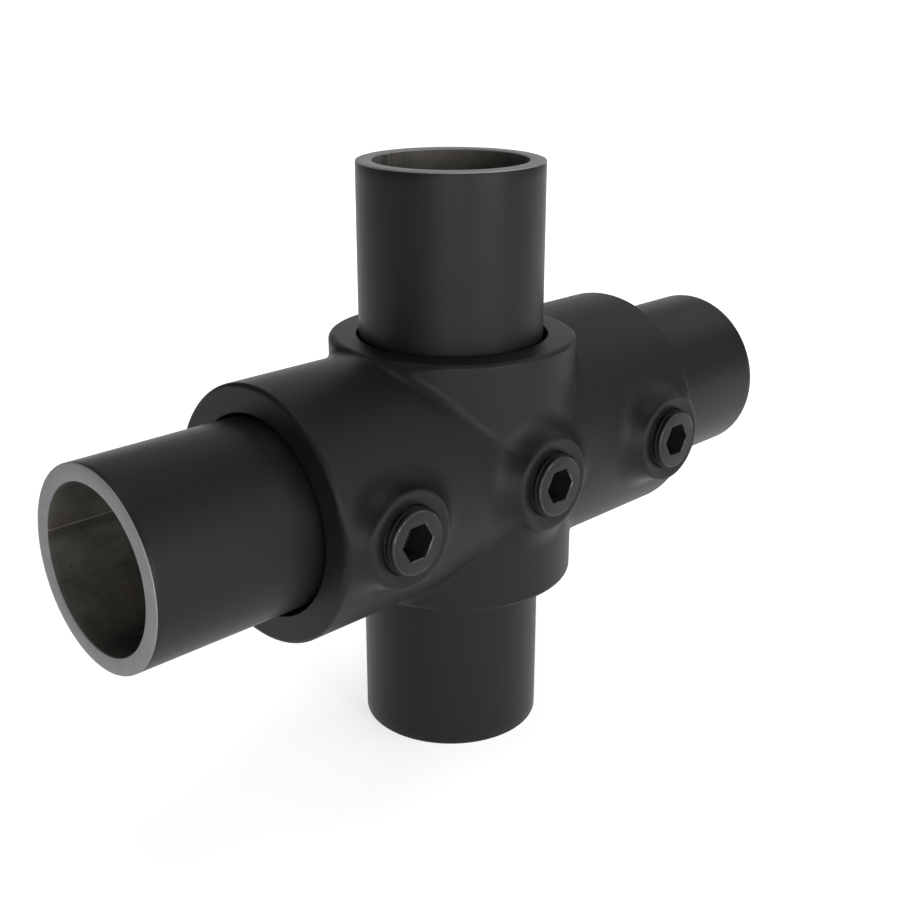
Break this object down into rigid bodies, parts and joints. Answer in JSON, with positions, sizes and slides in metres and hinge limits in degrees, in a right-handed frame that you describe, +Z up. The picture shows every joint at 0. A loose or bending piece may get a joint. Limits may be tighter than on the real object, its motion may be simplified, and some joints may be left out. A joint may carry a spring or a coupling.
{
  "type": "cross clamp block",
  "caption": "Cast cross clamp for round tube: a vertical sleeve between two blind side sockets, each with a set screw that holds its tube.",
  "frame": {"origin": "where the axes of the upright and the side tubes cross", "axes": "+X along the side tubes, +Z up the upright, -Y the side that the set screws face"},
  "size_m": [0.2178, 0.0711, 0.155],
  "materials": {
    "casting": "satin black powder coat on malleable iron",
    "tube": "satin black paint on steel tube, sawn ends and bore bare",
    "screw": "black oxide on steel"
  },
  "bodies": {
    "casting": {"clamp_casting": "casting"},
    "upright": {"upright_tube": "tube"},
    "left_tube": {"left_tube": "tube"},
    "right_tube": {"right_tube": "tube"},
    "left_screw": {"left_screw": "screw"},
    "middle_screw": {"middle_screw": "screw"},
    "right_screw": {"right_screw": "screw"}
  },
  "joints": [
    {"name": "upright_slide", "type": "slide", "parent": "casting", "child": "upright", "axis": [0, 0, 1], "range_m": [-0.04, 0.04]},
    {"name": "left_tube_slide", "type": "slide", "parent": "casting", "child": "left_tube", "axis": [-1, 0, 0], "range_m": [0, 0.03]},
    {"name": "right_tube_slide", "type": "slide", "parent": "casting", "child": "right_tube", "axis": [1, 0, 0], "range_m": [0, 0.03]},
    {"name": "left_screw_travel", "type": "slide", "parent": "casting", "child": "left_screw", "axis": [0, -1, 0], "range_m": [0, 0.01]},
    {"name": "middle_screw_travel", "type": "slide", "parent": "casting", "child": "middle_screw", "axis": [0, -1, 0], "range_m": [0, 0.01]},
    {"name": "right_screw_travel", "type": "slide", "parent": "casting", "child": "right_screw", "axis": [0, -1, 0], "range_m": [0, 0.01]}
  ]
}
